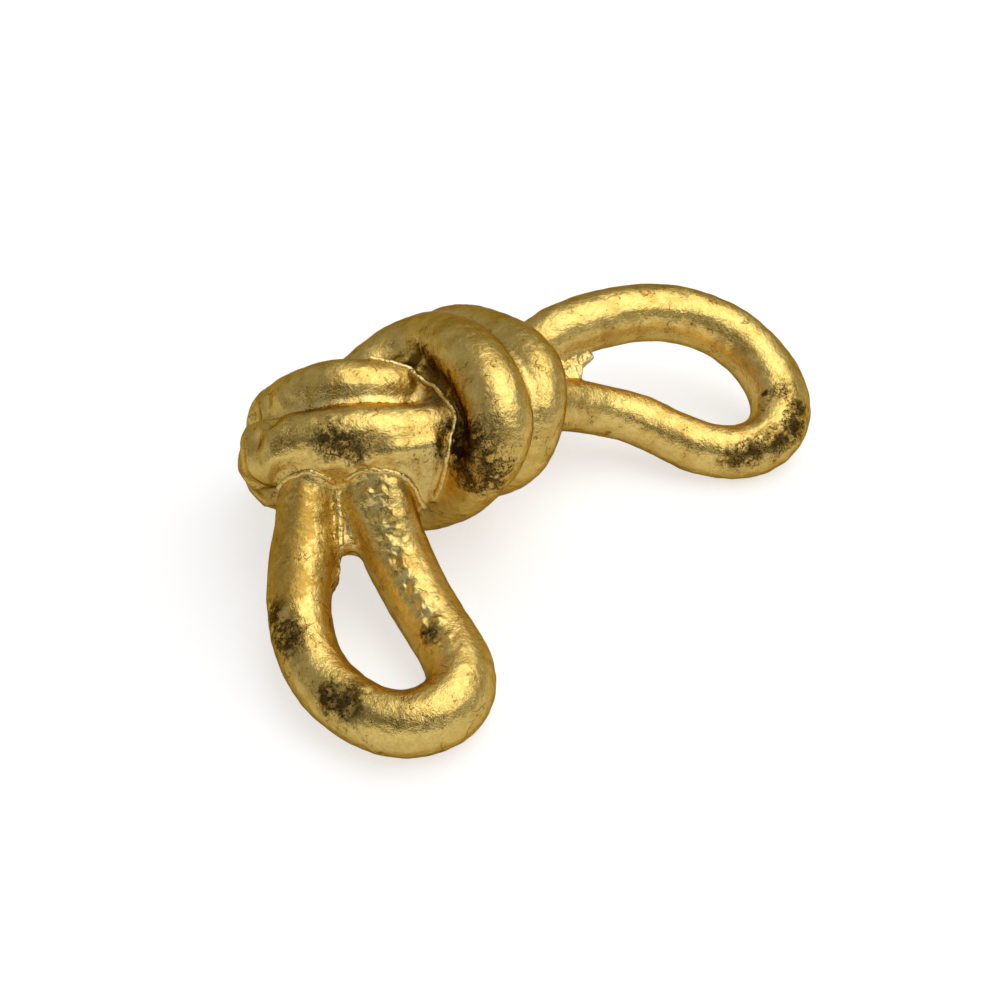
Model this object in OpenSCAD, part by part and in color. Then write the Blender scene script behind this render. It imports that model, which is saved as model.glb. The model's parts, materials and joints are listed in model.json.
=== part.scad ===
// Knot sculpture: one closed round bar, doubled, tied in an overhand knot, with a teardrop loop at
// each end. It is put together from ten bent bars that butt end to end on hidden dowel pins, and the
// two legs of each loop are joined by a small web at the root.

/* [Bar] */
// Diameter of the round bar at full thickness
bar_d = 24; // [20:0.5:28]
// Depth of the flat that each low place of the bar has where it rests on the table
rest_flat = 0.5; // [0.3:0.1:1]

/* [Front loop] */
// Reach of the front loop, from its root to its tip, on the middle of the bar
front_loop_l = 85; // [70:1:120]
// Width that the front loop is bent to, leg middle to leg middle
front_loop_w = 55; // [46:1:75]
// Direction that the front loop points in, in plan
front_loop_turn = -80; // [-88:1:-70]

/* [Back loop] */
// Reach of the back loop, from its root to its tip, on the middle of the bar
back_loop_l = 91; // [75:1:120]
// Width that the back loop is bent to, leg middle to leg middle
back_loop_w = 52; // [46:1:70]
// How far the far leg of the back loop stands up above its resting tip
back_loop_lift = 30; // [20:1:40]
// Direction that the back loop points in, in plan
back_loop_turn = 0; // [-8:1:8]

/* [Webs at the loop roots] */
// Thickness of the web between the two legs of the front loop
front_web_t = 7; // [4:0.5:12]
// Thickness of the rough web between the two legs of the back loop
back_web_t = 5; // [3:0.5:9]

// Thickness of the sheet over the root of the front loop
sheet_t = 5; // [3:0.5:7]

/* [Dowel joints] */
// Diameter of the dowel pin at each butt joint
pin_d = 7; // [5:0.5:9]
// Length of a dowel pin, half of it in each bar
pin_l = 16; // [10:1:20]
// Play between a pin and its hole, on the radius
pin_play = 0.1; // [0.05:0.05:0.3]
// Extra depth of each hole past the end of its pin
pin_end_play = 0.5; // [0.2:0.1:1.5]

/* [Fineness] */
// Sides of the bar's cross-section
sides = 20; // [16:2:24]
// Sections of the bar between two stations of its route
steps = 4; // [3:1:4]

/* [Hidden] */

// Turn of the whole piece that lays its long diagonal along X
model_turn = -50;
pin_fn = 48;
// Clearance that a web or sheet keeps at a butt joint
relief = 0.1;

// Thickness of the bar where it is full, where it is hammered down to pass through the knot, and on
// the two legs of the back loop, as shares of bar_d
full = 1;
snug = 0.96;
slim = 0.91;
far_leg = 1.01;
near_leg = 0.88;

// Height of the bar's middle where it rests on the table, in bar diameters
low_full = full / 2 - rest_flat / bar_d;
low_snug = snug / 2 - rest_flat / bar_d;
low_slim = slim / 2 - rest_flat / bar_d;

// The route of the bar's middle through the knot, in bar diameters: [x, y, z, thickness]. Each list
// starts at the joint where that bar begins, and ends one station before the joint of the next bar.
through_right = [
  [-1.80, -1.40, 1.45, 0.94], [-1.75, -0.45, 1.38, 0.89], [-1.80, 0.45, 1.33, 0.88]];
wrap_outer = [
  [-1.70, 1.25, 1.19, slim], [-1.50, 1.75, 1.39, snug], [-1.15, 1.93, 1.80, snug],
  [-0.70, 1.76, 2.18, 0.95], [-0.27, 1.37, 2.33, 0.95], [0.13, 0.78, 2.57, 0.95],
  [0.50, 0.05, 2.70, snug], [0.58, -0.54, 2.48, 0.93], [0.46, -0.91, 2.02, 0.88],
  [0.12, -0.68, 1.32, slim]];
under_far = [
  [-0.45, -0.05, 0.65, 0.93], [-1.45, 0.35, low_slim, slim], [-2.40, 0.40, low_slim, slim]];
over_far = [
  [-3.20, 0.40, 0.55, 0.93], [-3.65, 0.35, 1.00, 0.95], [-3.63, 0.08, 1.58, 0.93],
  [-3.24, -0.29, 2.22, snug], [-2.70, -0.45, 2.60, snug], [-2.00, -0.40, 2.60, snug],
  [-1.40, -0.12, 2.26, 0.90], [-0.80, 0.57, 1.57, 0.90]];
back_root_far = [
  [-0.25, 1.30, 1.35, 0.93], [0.30, 1.80, 1.46, snug], [0.90, 2.30, 1.72, full]];
back_root_near = [[1.10, 1.00, 1.23, near_leg]];
over_near = [
  [0.35, 0.45, 1.55, near_leg], [-0.30, -0.25, 2.05, near_leg], [-0.90, -1.00, 2.30, 0.94],
  [-1.35, -1.30, 2.40, snug], [-2.00, -1.45, 2.50, snug], [-2.65, -1.50, 2.45, snug],
  [-3.22, -1.45, 2.30, snug], [-3.64, -1.10, 1.80, snug], [-3.58, -0.80, 1.17, 0.93]];
under_near = [
  [-3.25, -0.55, 0.70, 0.95], [-2.55, -0.55, low_snug, 0.92]];
wrap_inner = [
  [-1.75, -0.65, low_slim, slim], [-1.05, -0.90, 0.75, 0.94], [-0.54, -1.48, 1.52, 0.93],
  [-0.19, -1.72, 2.22, 0.97], [0, -1.60, 2.75, 1.02], [-0.15, -1.00, 3.10, 1.03],
  [-0.55, -0.10, 3.08, 1.03], [-1.05, 0.75, 2.70, full], [-1.60, 0.98, 2.33, 0.95]];
through_left = [
  [-2.20, 0.60, 2.14, 0.89], [-2.58, 0.26, 1.79, 0.83], [-2.60, -0.40, 1.48, 0.83]];
front_root_left = [[-2.80, -1.35, 1.36, 0.93], [-2.90, -1.95, 1.35, 1.05]];
front_root_right = [[-1.75, -2.15, 1.24, 1.05]];

// The two loops, each as [share of the reach, share of the width, share of the height, thickness]
front_bend = [
  [0.17, -0.34, 0.81, 1.06], [0.44, -0.42, 0.44, 0.97], [0.70, -0.35, 0.12, 0.94],
  [0.92, -0.12, 0, 0.98], [1.03, 0.15, 0, full], [0.97, 0.45, 0, 1.07], [0.78, 0.56, 0.06, 1.05],
  [0.54, 0.46, 0.19, full], [0.30, 0.34, 0.44, 1.04]];
back_bend = [
  [0.19, 0.50, 1, far_leg], [0.45, 0.63, 0.98, far_leg], [0.73, 0.59, 0.78, far_leg],
  [0.93, 0.31, 0.46, 1.02], [1, -0.08, 0.14, 1.05], [0.88, -0.38, 0, 0.95],
  [0.64, -0.40, 0, 0.91], [0.41, -0.24, 0.24, near_leg], [0.21, -0.20, 0.40, near_leg]];

function sum(list, last) = last < 0 ? 0 : list[last] + sum(list, last - 1);
function unit(v) = v / norm(v);

// The middle of a loop's two root stations, from which the loop reaches out
front_root = (front_root_left[1] + front_root_right[0]) / 2 * bar_d;
back_root = (back_root_far[2] + back_root_near[0]) / 2 * bar_d;

// A loop's stations in millimetres: it rests at height 0 of its bend and rises by lift at height 1
function bent(bend, root, reach, width, turn, lift) = [for (s = bend)
  let (along = s[0] * reach, across = s[1] * width)
  [root[0] + along * cos(turn) - across * sin(turn),
   root[1] + along * sin(turn) + across * cos(turn),
   s[3] * bar_d / 2 - rest_flat + s[2] * lift,
   s[3] * bar_d]];

front_bend_mm = bent(front_bend, front_root, front_loop_l, front_loop_w, front_loop_turn,
  front_root[2] - low_full * bar_d);
back_bend_mm = bent(back_bend, back_root, back_loop_l, back_loop_w, back_loop_turn, back_loop_lift);

// The ten bars in order round the closed route, in millimetres
bars = [through_right * bar_d, wrap_outer * bar_d, under_far * bar_d, over_far * bar_d,
  concat(back_root_far * bar_d, back_bend_mm, back_root_near * bar_d),
  over_near * bar_d, under_near * bar_d, wrap_inner * bar_d, through_left * bar_d,
  concat(front_root_left * bar_d, front_bend_mm, front_root_right * bar_d)];
route = [for (bar = bars) each bar];
bar_lengths = [for (bar = bars) len(bar)];
stations = len(route);

// Number of the section at which a bar begins
function first(bar) = sum(bar_lengths, bar - 1) * steps;

// Shares of the way across at which the slices of a web's fin stop
front_fin = [0.37, 0.36, 0.34, 0.28];
back_fin = [0.5, 0.45];

// Sections at which the lower balls of the root sheet stand in the left leg, the right leg and the
// wrap, with their share of the thickness, and the two ways in which the hulls are moved to hollow
// them from behind and from above
sheet_ends = [[first(9) - 1, 0.55], [1, 0.55], [first(7) + 2 * steps - 1, 0.75]];
sheet_inwards = [[0, 0.8, -0.6], [0, 1.6, 0.8]];

// The smooth curve runs through the stations as a closed cubic B-spline
function station(i) = route[(i + stations) % stations];
pulls = [for (i = [0 : stations - 1]) station(i) - (station(i - 1) - 2 * station(i) + station(i + 1)) / 6];
function pull(i) = pulls[(i + stations) % stations];
function along_curve(i, t) = (pull(i - 1) * pow(1 - t, 3)
  + pull(i) * (3 * pow(t, 3) - 6 * t * t + 4)
  + pull(i + 1) * (3 * t + 3 * t * t - 3 * pow(t, 3) + 1)
  + pull(i + 2) * pow(t, 3)) / 6;
function slope(i, t) = (pull(i + 2) * t * t + pull(i + 1) * (1 + 2 * t - 3 * t * t)
  + pull(i) * (3 * t * t - 4 * t) - pull(i - 1) * pow(1 - t, 2)) / 2;
function point3(v) = [v[0], v[1], v[2]];

sections = stations * steps;
spine = [for (k = [0 : sections]) along_curve(floor(k / steps), k % steps / steps)];
middles = [for (p = spine) point3(p)];
heading = [for (k = [0 : sections]) unit(point3(slope(floor(k / steps), k % steps / steps)))];

// A direction square to the bar, carried along it without twist
function square_to(v, axis) = unit(v - (v * axis) * axis);
first_side = square_to([0, 0, 1], heading[0]);
side_dir = [for (k = 0, d = first_side; k <= sections;
  k = k + 1, d = k <= sections ? square_to(d, heading[k]) : d) d];

// One section of the bar, cut flat at the table
function on_table(p) = [p[0], p[1], max(p[2], 0)];
function section(k) = [for (j = [0 : sides - 1])
  let (a = 360 * j / sides, up = cross(heading[k], side_dir[k]))
  on_table(middles[k] + spine[k][3] / 2 * (side_dir[k] * cos(a) + up * sin(a)))];

// The centre of the finished piece in plan, after its turn
function turned(p) = [p[0] * cos(model_turn) - p[1] * sin(model_turn),
  p[0] * sin(model_turn) + p[1] * cos(model_turn)];
outline = [for (k = [0 : sections]) each [for (p = section(k)) turned(p)]];
xs = [for (p = outline) p[0]];
ys = [for (p = outline) p[1]];
centre = [(min(xs) + max(xs)) / 2, (min(ys) + max(ys)) / 2, 0];

module placed() {
  translate(-centre)
    rotate(model_turn)
      children();
}

// Solid through a row of sections with the same number of points each, closed at both ends. The
// points of a section go round anticlockwise as seen from the section after it.
module skin(rows, caps) {
  m = len(rows[0]);
  last = (len(rows) - 1) * m;
  walls = [for (r = [0 : len(rows) - 2], j = [0 : m - 1])
    let (a = r * m + j, b = r * m + (j + 1) % m) each [[a, b + m, b], [a, a + m, b + m]]];
  polyhedron(points = [for (row = rows) each row],
    faces = concat(walls, caps, [for (f = caps) [for (i = [len(f) - 1 : -1 : 0]) f[i] + last]]),
    convexity = 6);
}

// Stands its children on the middle of a section, along the bar. The turn keeps the seam of a round
// hole off the corners of the section.
module along_heading(k) {
  d = heading[k];
  translate(middles[k])
    rotate([0, acos(d[2]), atan2(d[1], d[0])])
      rotate(90 / sides)
        children();
}

module dowel(bar) {
  along_heading(first(bar))
    cylinder(d = pin_d, h = pin_l, center = true, $fn = pin_fn);
}

module dowel_hole(k) {
  along_heading(k)
    cylinder(d = pin_d + 2 * pin_play, h = pin_l + 2 * pin_end_play, center = true, $fn = pin_fn);
}

// Keeps what seats on two bars clear of the butt joint between them
module joint_relief(k) {
  along_heading(k)
    cylinder(d = spine[k][3] + 2 * relief, h = 2 * relief, center = true, $fn = pin_fn);
}

module bar_body(b) {
  skin([for (k = [first(b) : first(b + 1)]) section(k)], [[for (j = [0 : sides - 1]) j]]);
}

// One bar of the knot, with a dowel hole in each end
module bar(b) {
  difference() {
    bar_body(b);
    dowel_hole(first(b));
    dowel_hole(first(b + 1));
  }
}

// Web that fills the corner between two legs of a loop. Each slice runs from the middle of leg a
// towards the middle of leg b. The slices in fin stop at that share of the way, and make the ragged
// fin that runs on down leg a. The bars are cut away from it where it is used, so that it seats on them.
function web_slice(a, b, thick, share) =
  let (across = unit(middles[b] - middles[a]),
       up = unit(cross(heading[a] - heading[b], across)) * thick / 2,
       end = middles[a] + (middles[b] - middles[a]) * share)
  [middles[a] + up, middles[a] - up, end - up, end + up];

module web(leg_a, leg_b, from, to, thick, fin) {
  skin(concat(
      [for (i = [from : to]) web_slice(leg_a + i, leg_b - i, thick, 1)],
      [for (i = [0 : len(fin) - 1]) web_slice(leg_a + to + 1 + i, leg_b - to - 1 - i, thick, fin[i])]),
    [[0, 1, 2, 3]]);
}

// Sheet that closes the corner between the near bar on top, the legs of the front loop and the inner
// wrap: the outer skin of hulls of balls that stand inside those bars, one hull for each stretch of
// the near bar between two stations.
module root_hull() {
  for (i = [2 : 4])
    hull()
      for (end = concat([for (k = [i, i + 1]) [first(5) + k * steps, 0.85]], sheet_ends))
        translate(middles[end[0]])
          sphere(d = spine[end[0]][3] * end[1], $fn = sides);
}

module root_sheet() {
  difference() {
    root_hull();
    for (inwards = sheet_inwards)
      translate(sheet_t * inwards)
        root_hull();
  }
}

module front_loop() { color("gold") placed() bar(9); }
module back_loop() { color("gold") placed() bar(4); }
module through_bar_right() { color("goldenrod") placed() bar(0); }
module through_bar_left() { color("goldenrod") placed() bar(8); }
module wrap_bar_outer() { color("gold") placed() bar(1); }
module wrap_bar_inner() { color("khaki") placed() bar(7); }
module under_bar_far() { color("darkgoldenrod") placed() bar(2); }
module under_bar_near() { color("darkgoldenrod") placed() bar(6); }
module over_bar_far() { color("goldenrod") placed() bar(3); }
module over_bar_near() { color("gold") placed() bar(5); }

module front_root_web() {
  color("lightyellow")
    placed()
      difference() {
        union() {
          web(first(9), first(10), 0, 6, front_web_t, front_fin);
          root_sheet();
        }
        for (b = [0, 5, 7, 8, 9])
          bar_body(b);
        for (b = [0, 9])
          joint_relief(first(b));
      }
}

module back_root_web() {
  color("lightyellow")
    placed()
      difference() {
        web(first(4) + 2 * steps, first(5) - steps, -2, 1, back_web_t, back_fin);
        bar_body(4);
      }
}

module joint_pins() {
  color("darkgray")
    placed()
      for (b = [0 : len(bars) - 1])
        dowel(b);
}

front_loop();
back_loop();
through_bar_right();
through_bar_left();
wrap_bar_outer();
wrap_bar_inner();
under_bar_far();
under_bar_near();
over_bar_far();
over_bar_near();
front_root_web();
back_root_web();
joint_pins();
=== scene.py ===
"""Gold-leafed knot ornament: the looks of the cast bars, their webs and the studio round them."""

import json
from math import radians

import bpy
from bpy.props import FloatProperty, FloatVectorProperty, PointerProperty
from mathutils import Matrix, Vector

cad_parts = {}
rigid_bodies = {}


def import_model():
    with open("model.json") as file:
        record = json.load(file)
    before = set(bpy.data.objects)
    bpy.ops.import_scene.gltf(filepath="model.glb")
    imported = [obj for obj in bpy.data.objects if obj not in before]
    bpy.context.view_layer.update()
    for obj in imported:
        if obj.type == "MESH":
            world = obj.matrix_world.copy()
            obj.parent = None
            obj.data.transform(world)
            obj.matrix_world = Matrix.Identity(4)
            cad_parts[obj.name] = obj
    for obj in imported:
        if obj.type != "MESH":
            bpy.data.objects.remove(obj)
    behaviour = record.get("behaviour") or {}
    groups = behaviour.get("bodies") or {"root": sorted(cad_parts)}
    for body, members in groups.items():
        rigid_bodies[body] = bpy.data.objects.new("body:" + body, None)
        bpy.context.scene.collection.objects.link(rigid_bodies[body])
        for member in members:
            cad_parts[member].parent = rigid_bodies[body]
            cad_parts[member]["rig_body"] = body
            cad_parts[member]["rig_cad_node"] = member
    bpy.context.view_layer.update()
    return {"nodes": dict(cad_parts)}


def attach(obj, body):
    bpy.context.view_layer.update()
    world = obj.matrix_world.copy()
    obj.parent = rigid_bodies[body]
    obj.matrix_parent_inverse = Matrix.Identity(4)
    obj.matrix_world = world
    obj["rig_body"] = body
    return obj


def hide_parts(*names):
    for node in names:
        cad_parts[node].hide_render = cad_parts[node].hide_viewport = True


bl_info = {
    "name": "Gold Leaf Knot",
    "version": (1, 0, 0),
    "blender": (4, 5, 0),
    "location": "View3D > Sidebar > Knot",
    "description": "Dresses the bars of a knotted ornament in hammered gold leaf",
    "category": "Object",
}

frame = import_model()

BARS = (
    "front_loop",
    "back_loop",
    "through_bar_right",
    "through_bar_left",
    "wrap_bar_outer",
    "wrap_bar_inner",
    "under_bar_far",
    "under_bar_near",
    "over_bar_far",
    "over_bar_near",
)
WEBS = ("front_root_web", "back_root_web")

MM = 0.001
# Distance within which two corners of a CAD node are one, in metres.
SAME_CORNER = 0.00001
# Width of the table, and of the camera's sensor in millimetres.
TABLE_WIDTH = 6.0
SENSOR = 36.0
# Thickness of the lip between the legs, as a share of the other lips.
WEB_LIP_SHARE = 1.5

# The places below are in millimetres: x, y, z, and then a radius where there is one.
# The hollow between the bars on top and the inner wrap, from back to front.
HOLLOW = (
    (-11, 31, 59, 6),
    (-12, 24, 58.5, 7),
    (-14, 16, 57.5, 7.5),
    (-17, 8, 58, 7.5),
    (-21, 1, 58, 7.5),
    (-26, -6, 56.5, 7.5),
    (-31, -12, 53, 7),
)
# The sheet that runs down from the near bar on top to the front loop's legs, as four stretched pieces.
APRON = (
    ((-73, 27, 53, 4), (-68, 19, 56, 5), (-63, 14, 56, 5), (-71, 20, 47, 3), (-64, 14, 45, 3)),
    (
        (-63, 14, 56, 5),
        (-50, 1, 59.5, 5.5),
        (-41, -6, 57.5, 5.5),
        (-64, 14, 45, 3),
        (-59, 5, 45, 4),
        (-52, -2, 42, 3),
    ),
    ((-50, 1, 59.5, 5.5), (-39, -7, 58.5, 5.5), (-41, -5, 37, 4), (-52, -2, 42, 3), (-45, -6, 37, 4)),
    ((-63, 15.5, 41.5, 3), (-79.5, 2.5, 30, 3)),
)
# The swelling of each leg where it comes out from under the sheet.
ROOTS = (
    ((-74, 23, 43, 9.5), (-77, 23, 39, 9.5), (-90.5, 10.5, 28.5, 11)),
    ((-61, 4, 41, 9.5), (-56, 1, 45, 9.5), (-65.5, -14.5, 25.5, 11)),
)
# Raised lips of leaf: along the right edge of the bars on top, over the roots of the legs, and between them.
EDGE_LIP = (
    (-28, 33.5, 73),
    (-25, 30.5, 71.5),
    (-22.5, 25.5, 71),
    (-18.5, 22, 68.5),
    (-17, 16, 66),
    (-18, 9, 66),
    (-20.5, 3, 66.5),
    (-24, -3, 67),
    (-25.5, -8, 65.5),
    (-29, -10, 62.5),
    (-33.5, -11, 58),
    (-36, -12.5, 51),
    (-38, -11.5, 44.5),
    (-40, -9, 37.5),
)
LEG_LIP = (
    (-76, 29.5, 42.5),
    (-75, 26, 49),
    (-72.5, 21, 54),
    (-67, 18.5, 51.5),
    (-62.5, 17.5, 44),
    (-61.5, 12, 51),
    (-58, 5.5, 55),
    (-54, 2, 52),
    (-50, -1.5, 47),
    (-49, -4, 41.5),
    (-47, -7, 36.5),
    (-41, -6, 33),
)
WEB_LIP = ((-62.5, 17, 44), (-67, 13, 41), (-72, 9, 38), (-77, 5, 34), (-80, 2, 31.5))
# The crumpled left fold of the bars on top, and the wrinkles down the right leg of the front loop.
FOLD = ((-74, 46, 54, 22), (-62, 62, 48, 16), (-76, 45, 30, 18))
WRINKLES = (
    (-60, 4, 53, 7),
    (-64, -2, 48, 7),
    (-67, -9, 43, 7),
    (-70, -15, 38, 7),
    (-74, -22, 33, 6),
    (-78, -30, 29, 5),
    (-80, -38, 27, 6),
    (-84, -46, 25, 7),
    (-87, -53, 24, 6),
)


class CastingSettings(bpy.types.PropertyGroup):
    """Sizes of the cast surface, as a founder would give them."""

    grid: FloatProperty(
        name="Grid",
        description="Distance between the points of the modelled surface",
        default=0.0008,
        min=0.0005,
        max=0.003,
        subtype="DISTANCE",
    )
    web_grid: FloatProperty(
        name="Web Grid",
        description="Distance between the points of the web and sheet over the root of the front loop",
        default=0.0006,
        min=0.0003,
        max=0.002,
        subtype="DISTANCE",
    )
    rough_grid: FloatProperty(
        name="Rough Grid",
        description="Distance between the points of the rough web of the back loop",
        default=0.0004,
        min=0.0002,
        max=0.001,
        subtype="DISTANCE",
    )
    lip_grid: FloatProperty(
        name="Lip Grid",
        description="Distance between the points of the raised lips",
        default=0.0003,
        min=0.0002,
        max=0.001,
        subtype="DISTANCE",
    )
    groove_fill: FloatProperty(
        name="Groove Fill",
        description="Radius of the metal that has run into the grooves between the bars",
        default=0.0026,
        min=0.0005,
        max=0.006,
        subtype="DISTANCE",
    )
    hammer_depth: FloatProperty(
        name="Hammer Depth",
        description="Depth of the broad hand-worked dents",
        default=0.0011,
        min=0.0,
        max=0.003,
        subtype="DISTANCE",
    )
    hammer_size: FloatProperty(
        name="Hammer Size",
        description="Distance from one broad dent to the next",
        default=0.016,
        min=0.005,
        max=0.04,
        subtype="DISTANCE",
    )
    crinkle_depth: FloatProperty(
        name="Crinkle Depth",
        description="Depth of the small crinkles under the leaf",
        default=0.00035,
        min=0.0,
        max=0.001,
        subtype="DISTANCE",
    )
    crinkle_size: FloatProperty(
        name="Crinkle Size",
        description="Distance from one small crinkle to the next",
        default=0.0035,
        min=0.001,
        max=0.01,
        subtype="DISTANCE",
    )
    fold_depth: FloatProperty(
        name="Fold Depth",
        description="Depth of the crumpled facets on the left fold",
        default=0.0056,
        min=0.0,
        max=0.008,
        subtype="DISTANCE",
    )
    fold_size: FloatProperty(
        name="Fold Size",
        description="Width of the crumpled facets on the left fold",
        default=0.012,
        min=0.004,
        max=0.03,
        subtype="DISTANCE",
    )
    wrinkle_depth: FloatProperty(
        name="Wrinkle Depth",
        description="Depth of the wrinkles down the right leg of the front loop",
        default=0.003,
        min=0.0,
        max=0.005,
        subtype="DISTANCE",
    )
    wrinkle_size: FloatProperty(
        name="Wrinkle Size",
        description="Width of the wrinkles down the right leg",
        default=0.0034,
        min=0.001,
        max=0.01,
        subtype="DISTANCE",
    )
    lump_depth: FloatProperty(
        name="Lump Depth",
        description="Depth of the lumps on the rough web of the back loop",
        default=0.0018,
        min=0.0,
        max=0.004,
        subtype="DISTANCE",
    )
    lump_size: FloatProperty(
        name="Lump Size",
        description="Width of the lumps on the rough web of the back loop",
        default=0.0022,
        min=0.001,
        max=0.01,
        subtype="DISTANCE",
    )
    lip: FloatProperty(
        name="Lip",
        description="Radius of the raised lips of leaf at the root of the front loop",
        default=0.0011,
        min=0.0002,
        max=0.002,
        subtype="DISTANCE",
    )
    lip_dents: FloatProperty(
        name="Lip Dents",
        description="Length of the uneven stretches along a raised lip",
        default=0.0026,
        min=0.001,
        max=0.01,
        subtype="DISTANCE",
    )


class LeafSettings(bpy.types.PropertyGroup):
    """Colours of the leaf and of what shows through it; some also carry painted shade, highlights and dark
    reflections.
    """

    bright: FloatVectorProperty(
        name="Bright Leaf",
        description="Colour of whole, burnished leaf",
        default=(0.95, 0.69, 0.21),
        min=0.0,
        max=1.0,
        subtype="COLOR",
    )
    # This colour also carries the painted warm shade, painted dark reflections, painted channel shade and
    # painted sparkle.
    deep: FloatVectorProperty(
        name="Deep Leaf",
        description="Colour of leaf that has toned down",
        default=(0.60, 0.35, 0.055),
        min=0.0,
        max=1.0,
        subtype="COLOR",
    )
    # This colour also carries the painted glints on the crinkles and the painted highlights on the sheet and
    # right leg.
    pale: FloatVectorProperty(
        name="Pale Leaf",
        description="Colour of the leaf that is heaped up in the grooves",
        default=(0.95, 0.76, 0.31),
        min=0.0,
        max=1.0,
        subtype="COLOR",
    )
    # This brown is also the colour of the painted dark reflections and the painted channel shade.
    bare: FloatVectorProperty(
        name="Bare Ground",
        description="Colour of the brown ground where the leaf has broken",
        default=(0.035, 0.018, 0.007),
        min=0.0,
        max=1.0,
        subtype="COLOR",
    )
    # Painted shade: this tint darkens and browns the leaf's reflection at flat angles, along the
    # silhouettes.
    edge: FloatVectorProperty(
        name="Edge Tint",
        description="Tint of the leaf where it is seen at a flat angle",
        default=(0.48, 0.31, 0.14),
        min=0.0,
        max=1.0,
        subtype="COLOR",
    )


class StudioSettings(bpy.types.PropertyGroup):
    """Camera and light."""

    camera_at: FloatVectorProperty(
        name="Camera Position",
        description="Where the camera stands",
        default=(-0.4532, -0.3879, 0.5043),
        subtype="TRANSLATION",
    )
    camera_to: FloatVectorProperty(
        name="Camera Target",
        description="The point that the camera looks at",
        default=(0.0072, -0.0016, 0.0),
        subtype="TRANSLATION",
    )
    lens: FloatProperty(
        name="Lens",
        description="Focal length in millimetres on a sensor 36 mm wide",
        default=70.56,
        min=20.0,
        max=200.0,
    )
    table_shade: FloatProperty(
        name="Table Shade",
        description="How light a grey the table is under the lamp",
        default=0.65,
        min=0.0,
        max=1.0,
    )
    table_glow: FloatProperty(
        name="Table Glow",
        description="Share of full white that is added to the table for the camera",
        default=0.62,
        min=0.0,
        max=1.0,
    )
    mirrored_glow: FloatProperty(
        name="Mirrored Glow",
        description="Share of that added white which the leaf reflects",
        default=0.3,
        min=0.0,
        max=1.0,
    )
    sky: FloatProperty(
        name="Sky",
        description="Strength of the white sky as a light",
        default=0.4,
        min=0.0,
        max=2.0,
    )
    lamp_power: FloatProperty(
        name="Lamp Power",
        description="Power of the soft light",
        default=9.0,
        min=0.0,
        max=100.0,
        subtype="POWER",
    )
    lamp_width: FloatProperty(
        name="Lamp Width",
        description="Width of the soft light",
        default=1.75,
        min=0.1,
        max=4.0,
        subtype="DISTANCE",
    )
    lamp_depth: FloatProperty(
        name="Lamp Depth",
        description="Depth of the soft light",
        default=1.25,
        min=0.1,
        max=4.0,
        subtype="DISTANCE",
    )
    lamp_height: FloatProperty(
        name="Lamp Height",
        description="Height of the soft light above the table",
        default=1.15,
        min=0.3,
        max=4.0,
        subtype="DISTANCE",
    )
    lamp_behind: FloatProperty(
        name="Lamp Behind",
        description="How far the soft light hangs behind the ornament",
        default=0.12,
        min=-2.0,
        max=2.0,
        subtype="DISTANCE",
    )
    lamp_aside: FloatProperty(
        name="Lamp Aside",
        description="How far the soft light hangs to the right of the ornament",
        default=0.45,
        min=-2.0,
        max=2.0,
        subtype="DISTANCE",
    )


# Painted dark reflections: spots where the leaf faces the dark card by the camera, painted dark brown.
# The last four are painted shade in the small pits in the back loop's bend.
PAINTED_DARK_SPOTS = (
    (-121, -11, 25, 11),
    (-116, -2, 25, 8),
    (-128, -46, 21, 11),
    (-131, -38, 20, 8),
    (-66, 16, 66, 10),
    (-62, 9, 63, 8),
    (-37, -26, 60, 17),
    (-36, -22, 64, 14),
    (-38, -29, 55, 13),
    (-35, -18, 66, 9),
    (-87, -47, 24, 6),
    (108, -66, 25, 8),
    (106, -74, 22, 8),
    (99, -78, 20, 8),
    (90, -76, 18, 8),
    (80, -72, 17, 8),
    (71, -69, 15, 8),
    (96, -56, 27, 7),
    (94, -50, 27, 6),
    (103, -61.5, 27, 2.2),
    (100.5, -64, 27.5, 1.8),
    (99.5, -60, 27, 1.5),
    (105, -65, 27, 1.5),
)
# Pale spots: thick pale leaf in the groove on top and along the lip between the legs.
# The pale spots on the sheet and down the front loop's right leg are painted highlights.
HEAPED_AND_HIGHLIT = (
    (-57, 41, 62, 4),
    (-53, 34.5, 65, 4),
    (-47, 27.5, 66, 4),
    (-41, 21.5, 66, 4),
    (-32, 16.5, 65, 4),
    (-24, 13, 63, 4),
    (-26, 3, 66, 6),
    (-30, -3, 64, 6),
    (-47, -1, 55, 9),
    (-41, -8, 47, 9),
    (-43, -8, 56, 8),
    (-54, 6, 56, 6),
    (-63, 16, 44, 4.5),
    (-68, 12, 41, 4.5),
    (-73, 8, 38, 4.5),
    (-78, 4, 34, 4.5),
    (-61, 2, 52, 4),
    (-65, -4, 47, 4),
    (-68, -11, 42, 4),
    (-71, -18, 37, 4),
    (-76, -27, 31, 4),
    (-81, -40, 27, 4),
)
# The dark channel beside the inner wrap, from back to front.
SHADED = (
    (-10, 26, 66, 8),
    (-14, 15, 68, 8),
    (-18, 6, 68, 8),
    (-23, -3, 70, 8),
    (-28, -12, 67, 8),
    (-33, -18, 62, 8),
)
# Painted warm shade: amber shade painted on the left leg, at the roots of the legs and beside the inner
# wrap.
PAINTED_WARM_SHADE = (
    (-96, 10, 40, 12),
    (-103, 6, 36, 12),
    (-110, 0, 31, 12),
    (-90, 20, 36, 16),
    (-100, 14, 32, 15),
    (-80, 18, 40, 12),
    (-58, -6, 38, 9),
    (-76, 27, 44, 7),
    (-70, 20, 46, 6),
    (-58, 6, 46, 6),
    (-51, -2, 42, 6),
    (-17, 10, 64, 14),
    (-30, -16, 56, 12),
)

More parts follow.
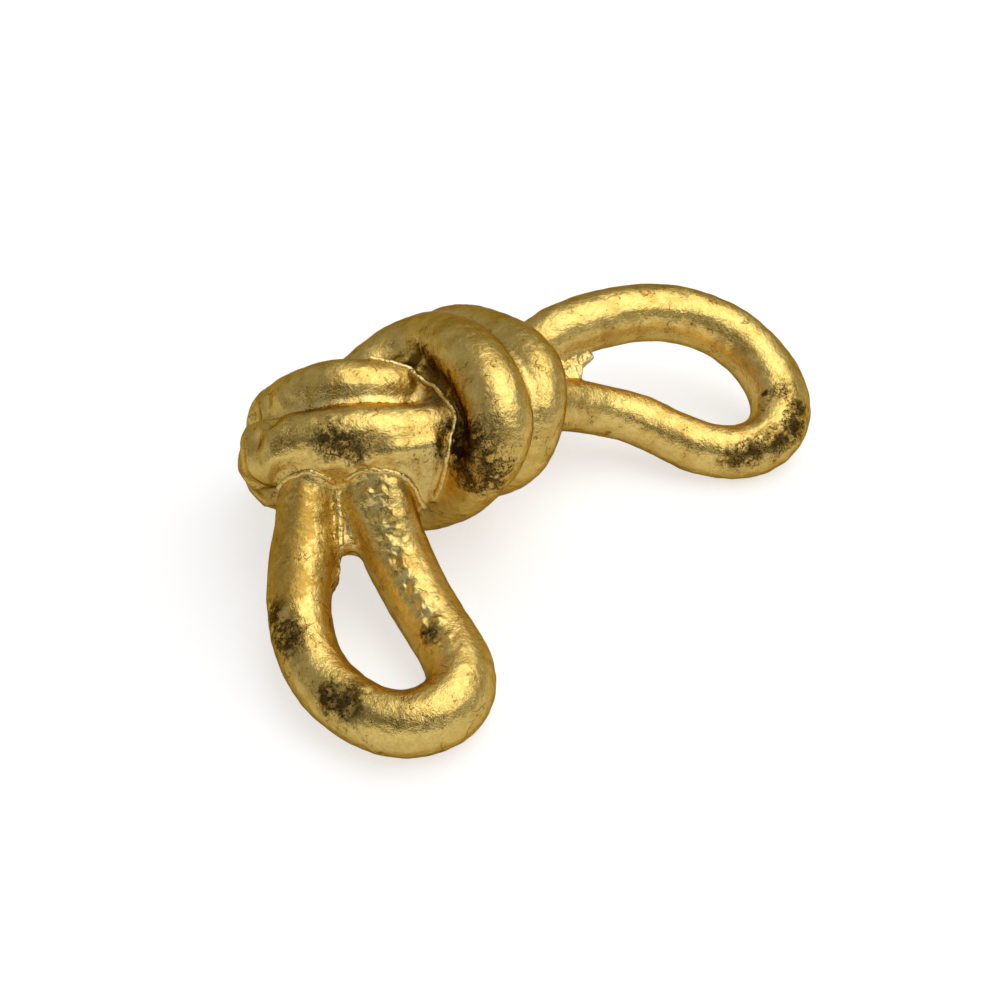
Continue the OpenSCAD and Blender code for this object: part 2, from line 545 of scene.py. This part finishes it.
# How fine each layer of the leaf's pattern is, in waves to the metre.
LEAF_LAYERS = {"broad": 42.0, "cloudy": 150.0, "crinkle": 420.0, "grain": 1000.0, "fine": 2800.0}
HEAPED_LAYERS = {"cloudy": 160.0, "lumps": 500.0, "grain": 1300.0}
# The net of hair cracks and the noise that makes it wander, in waves to the metre, and how far it wanders.
CRACK_NET = 70.0
CRACK_NOISE = 260.0
CRACK_WANDER = 0.007
# Depth of the bump in the leaf, in metres.
BUMP_DEPTH = 0.0012
# Share of a spot's radius within which it has its full strength.
SPOT_CORE = 0.4
# Angle from which a crease stays sharp.
CREASE = radians(70)

# Cards that only show in reflections: name, how far each stands towards the camera, its height, the point
# that it faces, its size, and its shade of grey.
CARDS = (
    ("camera_flag", 0.86, 0.70, (0, 0, 0), (2.6, 0.66), 0.02),
    ("front_floor", 0.62, 0.001, (0, 0, 1), (1.6, 1.0), 0.8),
    ("front_wall", 1.0, 0.2, (0, 0, 0.1), (2.4, 0.4), 1.0),
)

# Working by hand: select, copy, edit, finish


def pick(*things):
    """Leaves only these objects selected, the first of them active."""
    if bpy.context.mode != "OBJECT":
        bpy.ops.object.mode_set(mode="OBJECT")
    bpy.ops.object.select_all(action="DESELECT")
    for thing in things:
        thing.hide_set(False)
        thing.select_set(True)
    bpy.context.view_layer.objects.active = things[0]


def copied(node, name):
    """A loose copy of a CAD node with its corners merged."""
    pick(frame["nodes"][node])
    bpy.ops.object.duplicate()
    piece = bpy.context.active_object
    piece.name = name
    piece.data.name = name
    bpy.ops.object.parent_clear(type="CLEAR_KEEP_TRANSFORM")
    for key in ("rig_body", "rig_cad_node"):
        if key in piece:
            del piece[key]
    bpy.ops.object.mode_set(mode="EDIT")
    bpy.ops.mesh.select_all(action="SELECT")
    bpy.ops.mesh.remove_doubles(threshold=SAME_CORNER)
    bpy.ops.mesh.normals_make_consistent(inside=False)
    bpy.ops.object.mode_set(mode="OBJECT")
    piece.data.materials.clear()
    return piece


def finish_with(piece, kind, **settings):
    """Adds a modifier to the piece and applies it."""
    pick(piece)
    modifier = piece.modifiers.new(kind.title(), kind)
    for key, value in settings.items():
        setattr(modifier, key, value)
    bpy.ops.object.modifier_apply(modifier=modifier.name)


def regrid(piece, grid):
    """Gives the piece an even grid of faces, and makes one skin of what overlaps."""
    finish_with(piece, "REMESH", mode="VOXEL", voxel_size=grid, use_smooth_shade=True)


def smoothed(piece, rounds):
    """Softens the piece by this many rounds of smoothing."""
    finish_with(piece, "SMOOTH", factor=0.5, iterations=rounds)


def cloud(name, size, depth=2):
    """Soft random dents of one size, for the displace modifier."""
    pattern = bpy.data.textures.new(name, "CLOUDS")
    pattern.noise_scale = size
    pattern.noise_depth = depth
    pattern.noise_basis = "BLENDER_ORIGINAL"
    return pattern


def facets(name, size):
    """Flat-sided lumps with creases between them, for the displace modifier."""
    pattern = bpy.data.textures.new(name, "VORONOI")
    pattern.noise_scale = size
    return pattern


def flatten_base(piece):
    """Rests the piece on the table: what hangs below it is pressed flat."""
    pick(piece)
    bpy.ops.object.mode_set(mode="EDIT")
    bpy.ops.mesh.select_mode(type="VERT")
    bpy.ops.mesh.select_all(action="DESELECT")
    bpy.ops.object.mode_set(mode="OBJECT")
    low = [v for v in piece.data.vertices if v.co.z < 0.0]
    for v in low:
        v.select = True
    if low:
        bpy.ops.object.mode_set(mode="EDIT")
        bpy.ops.transform.resize(value=(1, 1, 0), center_override=(0, 0, 0))
        bpy.ops.object.mode_set(mode="OBJECT")


def dented(piece, pattern, strength, mid_level=0.5, vertex_group=""):
    """Presses a pattern into the piece."""
    finish_with(
        piece,
        "DISPLACE",
        texture=pattern,
        texture_coords="LOCAL",
        strength=strength,
        mid_level=mid_level,
        vertex_group=vertex_group,
    )


def pressed(piece, grid):
    """Swells a piece, and then presses it back on to the skin of the casting."""
    fill = bpy.context.scene.knot_casting.groove_fill
    skin = bpy.data.objects["casting_skin"]
    finish_with(piece, "DISPLACE", strength=fill, mid_level=0.0)
    regrid(piece, grid)
    smoothed(piece, 6)
    finish_with(
        piece,
        "SHRINKWRAP",
        target=skin,
        wrap_method="PROJECT",
        use_negative_direction=True,
        use_positive_direction=False,
        cull_face="BACK",
        use_invert_cull=False,
        project_limit=fill * 2.0,
    )
    finish_with(piece, "SHRINKWRAP", target=skin, wrap_method="NEAREST_SURFACEPOINT", wrap_mode="INSIDE")
    return piece


def balls(spots):
    """A ball at each spot, joined in one mesh."""
    made = []
    for x, y, z, radius in spots:
        bpy.ops.object.select_all(action="DESELECT")
        bpy.ops.mesh.primitive_ico_sphere_add(
            subdivisions=3, radius=radius * MM, location=(x * MM, y * MM, z * MM)
        )
        made.append(bpy.context.active_object)
    pick(*made)
    bpy.ops.object.join()
    bpy.ops.object.transform_apply(location=True, rotation=True, scale=True)
    return bpy.context.active_object


def stretched(sheets):
    """Sheets of wax, each stretched round its own balls, joined in one mesh."""
    made = []
    for spots in sheets:
        lump = balls(spots)
        bpy.ops.object.mode_set(mode="EDIT")
        bpy.ops.mesh.select_all(action="SELECT")
        bpy.ops.mesh.convex_hull()
        bpy.ops.object.mode_set(mode="OBJECT")
        made.append(lump)
    pick(*made)
    bpy.ops.object.join()
    return bpy.context.active_object


def worked(piece, name, spots):
    """A vertex group that rises towards the middle of the spots."""
    group = piece.vertex_groups.new(name=name)
    for v in piece.data.vertices:
        weight = 0.0
        for x, y, z, radius in spots:
            away = (v.co - Vector((x, y, z)) * MM).length
            weight = max(weight, 1.0 - away / (radius * MM))
        if weight > 0.0:
            group.add([v.index], min(1.0, weight * 2.0), "REPLACE")
    return name


def bead(name, points, thick):
    """An uneven raised line that lies on the casting's skin through these points."""
    sizes = bpy.context.scene.knot_casting
    skin = bpy.data.objects["casting_skin"]
    bpy.ops.object.select_all(action="DESELECT")
    bpy.ops.curve.primitive_nurbs_path_add()
    line = bpy.context.active_object
    line.name = name
    spline = line.data.splines[0]
    spline.points.add(len(points) - len(spline.points))
    for point, at in zip(spline.points, points):
        point.co = (at[0] * MM, at[1] * MM, at[2] * MM, 1.0)
    spline.order_u = 3
    spline.use_endpoint_u = True
    line.data.resolution_u = 12
    bpy.ops.object.convert(target="MESH")
    finish_with(line, "SHRINKWRAP", target=skin, wrap_method="NEAREST_SURFACEPOINT")
    smoothed(line, 4)
    pick(line)
    bpy.ops.object.convert(target="CURVE")
    line.data.bevel_depth = thick
    line.data.bevel_resolution = 3
    line.data.use_fill_caps = True
    bpy.ops.object.convert(target="MESH")
    bpy.ops.object.transform_apply(location=True, rotation=True, scale=True)
    regrid(line, sizes.lip_grid)
    dented(line, cloud(name + "_dents", sizes.lip_dents), thick * 0.8, 0.4)
    return line


def dressed(piece, name, material):
    """Names a finished piece, gives it its leaf, and sets it on the casting."""
    pick(piece)
    piece.name = name
    piece.data.name = name
    piece.data.materials.clear()
    piece.data.materials.append(material)
    bpy.ops.object.shade_smooth_by_angle(angle=CREASE)
    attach(piece, "root")


# Materials


class Wire:
    """A shader socket that can be added, subtracted and multiplied like a number."""

    def __init__(self, nodes, socket):
        self.nodes = nodes
        self.socket = socket

    def _math(self, operation, *others, clamp=False):
        return self.nodes.add("ShaderNodeMath", {"operation": operation, "use_clamp": clamp}, self, *others)

    def __add__(self, other):
        return self._math("ADD", other)

    def __radd__(self, other):
        return self._math("ADD", other)

    def __sub__(self, other):
        return self._math("SUBTRACT", other)

    def __rsub__(self, other):
        return self.nodes.add("ShaderNodeMath", {"operation": "SUBTRACT"}, other, self)

    def __mul__(self, other):
        return self._math("MULTIPLY", other)

    def __rmul__(self, other):
        return self._math("MULTIPLY", other)

    def clamped(self):
        """The same value, held between 0 and 1."""
        return self._math("ADD", 0.0, clamp=True)


class Nodes:
    """Writes a material's node tree."""

    def __init__(self, name):
        self.material = bpy.data.materials.new(name)
        self.material.use_nodes = True
        self.tree = self.material.node_tree
        self.tree.nodes.clear()
        self.place = self.add("ShaderNodeTexCoord", {}, out="Object")

    def add(self, kind, settings, *values, out=0, **named):
        """A node of this kind with these settings, and with values or links in its sockets."""
        node = self.tree.nodes.new(kind)
        for key, value in settings.items():
            setattr(node, key, value)
        for slot, value in list(enumerate(values)) + list(named.items()):
            socket = node.inputs[slot if isinstance(slot, int) else slot.replace("_", " ")]
            if isinstance(value, Wire):
                self.tree.links.new(value.socket, socket)
            elif socket.type == "RGBA" and len(value) == 3:
                socket.default_value = (*value, 1.0)
            else:
                socket.default_value = value
        return Wire(self, node.outputs[out])

    def noise(self, scale, detail, rough=0.55):
        """Noise from 0 to 1 on the object's own coordinates, with scale in waves to the metre."""
        return self.add(
            "ShaderNodeTexNoise",
            {},
            Vector=self.place,
            Scale=scale,
            Detail=detail,
            Roughness=rough,
        )

    def crack_lines(self):
        """0 on a net of wandering lines, and more with the distance from them."""
        wander = self.add(
            "ShaderNodeTexNoise",
            {},
            Vector=self.place,
            Scale=CRACK_NOISE,
            Detail=3.0,
            out="Color",
        )
        drift = self.add(
            "ShaderNodeVectorMath",
            {"operation": "MULTIPLY_ADD"},
            wander,
            (CRACK_WANDER, CRACK_WANDER, CRACK_WANDER),
            self.place,
        )
        return self.add(
            "ShaderNodeTexVoronoi",
            {"feature": "DISTANCE_TO_EDGE"},
            Vector=drift,
            Scale=CRACK_NET,
        )

    def rise(self, value, low, high):
        """0 below low, 1 above high, and smooth between them."""
        return self.add(
            "ShaderNodeMapRange",
            {"interpolation_type": "SMOOTHSTEP"},
            Value=value,
            From_Min=low,
            From_Max=high,
        )

    def blend(self, factor, first, second):
        """The first colour where the factor is 0, and the second where it is 1."""
        node = self.tree.nodes.new("ShaderNodeMix")
        node.data_type = "RGBA"
        for slot, value in ((0, factor), (6, first), (7, second)):
            if isinstance(value, Wire):
                self.tree.links.new(value.socket, node.inputs[slot])
            elif slot == 0:
                node.inputs[slot].default_value = value
            else:
                node.inputs[slot].default_value = (*value, 1.0)
        return Wire(self, node.outputs[2])

    def spots(self, places, ragged):
        """1 at the core of any of these places, falling to 0 at its radius with a ragged edge."""
        total = None
        for x, y, z, radius in places:
            away = self.add(
                "ShaderNodeVectorMath",
                {"operation": "DISTANCE"},
                self.place,
                (x * MM, y * MM, z * MM),
                out=1,
            )
            reach = radius * MM
            one = self.rise(away + ragged * reach, reach, reach * SPOT_CORE)
            total = one if total is None else total + one
        return total.clamped()

    def surface(self, **inputs):
        """Ends the tree with a surface of these inputs, and gives the material."""
        shader = self.add("ShaderNodeBsdfPrincipled", {}, **inputs)
        end = self.tree.nodes.new("ShaderNodeOutputMaterial")
        self.tree.links.new(shader.socket, end.inputs["Surface"])
        return self.material


def aged_leaf():
    """Aged gold leaf on a hand-finished casting, with painted shade, painted highlights and painted dark
    reflections in its colour.
    """
    leaf = bpy.context.scene.knot_leaf
    n = Nodes("aged_leaf")
    broad = n.noise(LEAF_LAYERS["broad"], 3.0)
    cloudy = n.noise(LEAF_LAYERS["cloudy"], 4.0, 0.6)
    crinkle = n.noise(LEAF_LAYERS["crinkle"], 4.0, 0.65)
    grain = n.noise(LEAF_LAYERS["grain"], 4.0, 0.7)
    fine = n.noise(LEAF_LAYERS["fine"], 2.0, 0.6)

    ragged = (cloudy - 0.5) * 2.6 + (crinkle - 0.5) * 1.2
    # Masks of painted light: dark reflections with the shade in the pits, warm shade, and channel shade.
    # The pale spots are partly thick leaf and partly painted highlight.
    painted_dark = n.spots(PAINTED_DARK_SPOTS, ragged)
    painted_warm_shade = n.spots(PAINTED_WARM_SHADE, ragged)
    shaded = n.spots(SHADED, ragged)
    heaped_and_highlit = n.spots(HEAPED_AND_HIGHLIT, ragged)

    # The leaf tones down in clouds, and painted warm shade, dark reflections and channel shade deepen it.
    clouds = n.rise(broad * 0.5 + cloudy * 0.5, 0.46, 0.62)
    toned_and_shaded = (clouds * 0.5 + painted_warm_shade * 0.85 + painted_dark * 0.4 + shaded).clamped()
    # The dark mottling on the crinkles is painted sparkle.
    painted_dark_sparkle = n.rise(crinkle * 0.45 + grain * 0.55, 0.60, 0.38)
    colour = n.blend((toned_and_shaded * 0.8 + painted_dark_sparkle * 0.35).clamped(), tuple(leaf.bright), tuple(leaf.deep))

    # Pale flecks on the crinkles are painted glints. Leaf that lies thick in the grooves stays pale.
    # The pale spots on the sheet and down the right leg are painted highlights.
    painted_glints = n.rise(crinkle * 0.5 + fine * 0.5, 0.53, 0.62) * (1.0 - toned_and_shaded)
    colour = n.blend((painted_glints * 0.5 + heaped_and_highlit * 0.55).clamped(), colour, tuple(leaf.pale))

    # Painted dark reflections and painted channel shade are laid on in the brown ground colour.
    painted_dark_and_shade = (painted_dark * n.rise(cloudy, 0.34, 0.54) * 0.85 + shaded * 0.7).clamped()
    colour = n.blend(painted_dark_and_shade, colour, tuple(leaf.bare))
    # The brown ground also shows in specks where the leaf is worn, more of them in the painted dark spots.
    patchy = (n.rise(cloudy * 0.5 + broad * 0.5, 0.47, 0.62) * 0.9 + painted_dark).clamped()
    worn = n.rise(crinkle * 0.25 + grain * 0.45 + fine * 0.3 + painted_dark * 0.05, 0.55, 0.58) * patchy
    colour = n.blend(worn * 0.95, colour, tuple(leaf.bare))

    # Hair cracks run through some of the clouds.
    cracks = n.rise(n.crack_lines(), 0.022, 0.0) * n.rise(cloudy, 0.52, 0.60)
    colour = n.blend(cracks * 0.6, colour, tuple(leaf.bare))

    height = cloudy * 0.5 + crinkle * 0.5 + grain * 0.26 + fine * 0.08 - worn * 0.08 - cracks * 0.15
    bump = n.add("ShaderNodeBump", {}, Strength=0.55, Distance=BUMP_DEPTH, Height=height)
    return n.surface(
        Base_Color=colour,
        Metallic=1.0 - worn * 0.15,
        Roughness=0.09 + crinkle * 0.09 + toned_and_shaded * 0.06 + painted_warm_shade * 0.22 + heaped_and_highlit * 0.1 + worn * 0.25,
        # The edge tint is painted shade: it darkens and browns the leaf's reflection at flat angles.
        Specular_Tint=tuple(leaf.edge),
        Normal=bump,
    )


def heaped_leaf():
    """Thick pale leaf on the raised lips and the rough web."""
    leaf = bpy.context.scene.knot_leaf
    n = Nodes("heaped_leaf")
    cloudy = n.noise(HEAPED_LAYERS["cloudy"], 4.0, 0.6)
    lumps = n.noise(HEAPED_LAYERS["lumps"], 5.0, 0.7)
    grain = n.noise(HEAPED_LAYERS["grain"], 3.0, 0.65)
    thin = n.rise(cloudy * 0.6 + grain * 0.4, 0.42, 0.58)
    broken = n.rise(lumps * 0.5 + grain * 0.5, 0.57, 0.64)
    colour = n.blend(thin * 0.85, tuple(leaf.pale), tuple(leaf.bright))
    colour = n.blend(broken * 0.8, colour, tuple(leaf.bare))
    height = cloudy * 0.8 + lumps * 0.5 + grain * 0.35
    bump = n.add("ShaderNodeBump", {}, Strength=0.5, Distance=BUMP_DEPTH, Height=height)
    return n.surface(Base_Color=colour, Metallic=1.0, Roughness=0.14 + grain * 0.14, Normal=bump)


def drawn_steel():
    """Plain drawn steel of the dowels inside the joints."""
    n = Nodes("drawn_steel")
    streak = n.noise(900.0, 2.0)
    return n.surface(
        Base_Color=n.blend(streak, (0.42, 0.42, 0.43), (0.58, 0.58, 0.60)),
        Metallic=1.0,
        Roughness=0.30 + streak * 0.15,
    )


FINISHES = {"aged_leaf": aged_leaf, "heaped_leaf": heaped_leaf, "drawn_steel": drawn_steel}


def finish_of(name):
    """The finish with this name, made the first time that it is asked for."""
    return bpy.data.materials.get(name) or FINISHES[name]()


# Pieces


class KNOT_OT_skin(bpy.types.Operator):
    """Model the skin of the whole casting, to which each bar is then fitted"""

    bl_idname = "knot.skin"
    bl_label = "Casting Skin"

    def execute(self, context):
        sizes = context.scene.knot_casting
        fill = sizes.groove_fill
        parts = [copied(node, "skin_" + node) for node in BARS + WEBS + ("joint_pins",)]
        parts += [balls(HOLLOW), stretched(ROOTS), stretched(APRON)]
        for part in parts:
            finish_with(part, "DISPLACE", strength=fill, mid_level=0.0)
        pick(*parts)
        bpy.ops.object.join()
        skin = context.active_object
        skin.name = "casting_skin"
        regrid(skin, sizes.grid)
        smoothed(skin, 6)
        finish_with(skin, "DISPLACE", strength=-fill, mid_level=0.0)
        regrid(skin, sizes.grid)
        smoothed(skin, 8)
        dented(skin, cloud("hammer", sizes.hammer_size), sizes.hammer_depth)
        dented(skin, cloud("crinkle", sizes.crinkle_size, 3), sizes.crinkle_depth)
        fold = worked(skin, "fold", FOLD)
        dented(skin, facets("fold_facets", sizes.fold_size), sizes.fold_depth, 0.35, fold)
        wrinkled = worked(skin, "wrinkles", WRINKLES)
        dented(skin, cloud("wrinkles", sizes.wrinkle_size), sizes.wrinkle_depth, 0.5, wrinkled)
        flatten_base(skin)
        return {"FINISHED"}


class KNOT_OT_bars(bpy.types.Operator):
    """Model each cast bar and fit it to the skin"""

    bl_idname = "knot.bars"
    bl_label = "Cast Bars"

    def execute(self, context):
        for node in BARS:
            name = node + "_cast"
            piece = pressed(copied(node, name), context.scene.knot_casting.grid)
            flatten_base(piece)
            dressed(piece, name, finish_of("aged_leaf"))
            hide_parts(node)
        return {"FINISHED"}


class KNOT_OT_webs(bpy.types.Operator):
    """Model the web at the root of each loop"""

    bl_idname = "knot.webs"
    bl_label = "Root Webs"

    def execute(self, context):
        sizes = context.scene.knot_casting
        front = pressed(copied("front_root_web", "front_root_web_cast"), sizes.web_grid)
        dressed(front, "front_root_web_cast", finish_of("aged_leaf"))
        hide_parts("front_root_web")

        rough = copied("back_root_web", "back_root_web_cast")
        regrid(rough, sizes.rough_grid)
        smoothed(rough, 3)
        dented(rough, cloud("back_root_web_lumps", sizes.lump_size, 3), sizes.lump_depth, 0.45)
        dressed(rough, "back_root_web_cast", finish_of("heaped_leaf"))
        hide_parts("back_root_web")
        return {"FINISHED"}


class KNOT_OT_lips(bpy.types.Operator):
    """Fill the hollow beside the inner wrap, and raise the sheet and the lips round the leg roots"""

    bl_idname = "knot.lips"
    bl_label = "Hollow, Sheet and Lips"

    def execute(self, context):
        sizes = context.scene.knot_casting
        gold = finish_of("aged_leaf")
        pale = finish_of("heaped_leaf")
        dressed(pressed(balls(HOLLOW), sizes.grid), "hollow_fill", gold)
        dressed(pressed(stretched(ROOTS), sizes.grid), "leg_roots", gold)
        dressed(pressed(stretched(APRON), sizes.grid), "root_apron", gold)
        dressed(bead("edge_lip", EDGE_LIP, sizes.lip), "edge_lip", pale)
        dressed(bead("leg_lip", LEG_LIP, sizes.lip), "leg_lip", pale)
        dressed(bead("web_lip", WEB_LIP, sizes.lip * WEB_LIP_SHARE), "web_lip", pale)
        return {"FINISHED"}


class KNOT_OT_dowels(bpy.types.Operator):
    """Finish the dowel pins inside the joints, and clear the working skin away"""

    bl_idname = "knot.dowels"
    bl_label = "Dowel Pins"

    def execute(self, context):
        pins = frame["nodes"]["joint_pins"]
        pins.data.materials.clear()
        pins.data.materials.append(finish_of("drawn_steel"))
        pick(bpy.data.objects["casting_skin"])
        bpy.ops.object.delete()
        return {"FINISHED"}


# Stage


def white_table():
    """The table: grey under the lamp, with a glow that makes it white for the camera and in reflections."""
    studio = bpy.context.scene.knot_studio
    n = Nodes("table_white")
    path = n.add("ShaderNodeLightPath", {}, out="Is Camera Ray")
    for ray in ("Is Glossy Ray", "Is Transmission Ray"):
        path = path + n.add("ShaderNodeLightPath", {}, out=ray) * studio.mirrored_glow
    shade = studio.table_shade
    matt = n.add("ShaderNodeBsdfDiffuse", {}, Color=(shade, shade, shade))
    light = n.add("ShaderNodeEmission", {}, Color=(1, 1, 1), Strength=path.clamped() * studio.table_glow)
    both = n.add("ShaderNodeAddShader", {}, matt, light)
    end = n.tree.nodes.new("ShaderNodeOutputMaterial")
    n.tree.links.new(both.socket, end.inputs["Surface"])
    return n.material


def card(name, at, to, size, shade):
    """A studio card that only shows in reflections."""
    bpy.ops.mesh.primitive_plane_add(size=1.0, location=at)
    flag = bpy.context.active_object
    flag.name = name
    flag.scale = (*size, 1.0)
    flag.rotation_euler = (Vector(to) - Vector(at)).to_track_quat("Z", "Y").to_euler()
    n = Nodes(name)
    light = n.add("ShaderNodeEmission", {}, Color=(shade, shade, shade), Strength=1.0)
    end = n.tree.nodes.new("ShaderNodeOutputMaterial")
    n.tree.links.new(light.socket, end.inputs["Surface"])
    flag.data.materials.append(n.material)
    for ray in ("camera", "diffuse", "shadow", "transmission", "volume_scatter"):
        setattr(flag, "visible_" + ray, False)


def soft_light(at, studio):
    """One large soft light, aimed at the ornament."""
    bpy.ops.object.light_add(type="AREA", location=at)
    light = bpy.context.active_object
    light.name = "softbox"
    light.data.shape = "RECTANGLE"
    light.data.size = studio.lamp_width
    light.data.size_y = studio.lamp_depth
    light.data.energy = studio.lamp_power
    light.rotation_euler = (-Vector(at)).to_track_quat("-Z", "Y").to_euler()


def white_sky(strength):
    """A sky that is white for the camera and lights the ornament at this strength."""
    world = bpy.data.worlds.new("studio")
    bpy.context.scene.world = world
    world.use_nodes = True
    tree = world.node_tree
    tree.nodes.clear()
    path = tree.nodes.new("ShaderNodeLightPath")
    sky = tree.nodes.new("ShaderNodeBackground")
    chosen = tree.nodes.new("ShaderNodeMapRange")
    chosen.inputs["To Min"].default_value = strength
    chosen.inputs["To Max"].default_value = 1.0
    tree.links.new(path.outputs["Is Camera Ray"], chosen.inputs["Value"])
    tree.links.new(chosen.outputs[0], sky.inputs["Strength"])
    end = tree.nodes.new("ShaderNodeOutputWorld")
    tree.links.new(sky.outputs[0], end.inputs["Surface"])


class KNOT_OT_stage(bpy.types.Operator):
    """Set the table, the cards, the lights and the camera"""

    bl_idname = "knot.stage"
    bl_label = "Studio"

    def execute(self, context):
        studio = context.scene.knot_studio
        bpy.ops.object.select_all(action="DESELECT")
        bpy.ops.mesh.primitive_plane_add(size=TABLE_WIDTH, location=(0, 0, 0))
        table = context.active_object
        table.name = "table"
        table.data.materials.append(white_table())

        toward = (Vector(studio.camera_at) - Vector(studio.camera_to)).normalized()
        front = Vector((toward.x, toward.y, 0.0)).normalized()
        right = Vector((-toward.y, toward.x, 0.0)).normalized()
        up = Vector((0.0, 0.0, 1.0))
        for name, forward, height, to, size, shade in CARDS:
            card(name, front * forward + up * height, to, size, shade)
        hung = right * studio.lamp_aside - front * studio.lamp_behind
        soft_light(hung + up * studio.lamp_height, studio)
        white_sky(studio.sky)

        bpy.ops.object.camera_add(location=studio.camera_at)
        camera = context.active_object
        camera.name = "camera"
        camera.data.lens = studio.lens
        camera.data.sensor_width = SENSOR
        camera.rotation_euler = (-toward).to_track_quat("-Z", "Y").to_euler()
        context.scene.camera = camera
        context.scene.view_settings.view_transform = "Standard"
        return {"FINISHED"}


class KNOT_PT_panel(bpy.types.Panel):
    """The ornament's sizes, colours and pieces"""

    bl_idname = "KNOT_PT_panel"
    bl_label = "Gold Leaf Knot"
    bl_space_type = "VIEW_3D"
    bl_region_type = "UI"
    bl_category = "Knot"

    def draw(self, context):
        column = self.layout.column()
        for group in (context.scene.knot_casting, context.scene.knot_leaf, context.scene.knot_studio):
            for name in group.bl_rna.properties.keys():
                if name not in ("rna_type", "name"):
                    column.prop(group, name)
        for step in STEPS:
            column.operator(step.bl_idname)


GROUPS = {
    "knot_casting": CastingSettings,
    "knot_leaf": LeafSettings,
    "knot_studio": StudioSettings,
}
STEPS = (KNOT_OT_skin, KNOT_OT_bars, KNOT_OT_webs, KNOT_OT_lips, KNOT_OT_dowels, KNOT_OT_stage)


def register():
    for group in GROUPS.values():
        bpy.utils.register_class(group)
    for step in STEPS + (KNOT_PT_panel,):
        bpy.utils.register_class(step)
    for name, group in GROUPS.items():
        setattr(bpy.types.Scene, name, PointerProperty(type=group))


def unregister():
    for name in GROUPS:
        delattr(bpy.types.Scene, name)
    for step in reversed(STEPS + (KNOT_PT_panel,)):
        bpy.utils.unregister_class(step)
    for group in reversed(list(GROUPS.values())):
        bpy.utils.unregister_class(group)


def main():
    register()
    bpy.ops.knot.skin()
    bpy.ops.knot.bars()
    bpy.ops.knot.webs()
    bpy.ops.knot.lips()
    bpy.ops.knot.dowels()
    bpy.ops.knot.stage()


if __name__ == "__main__":
    main()
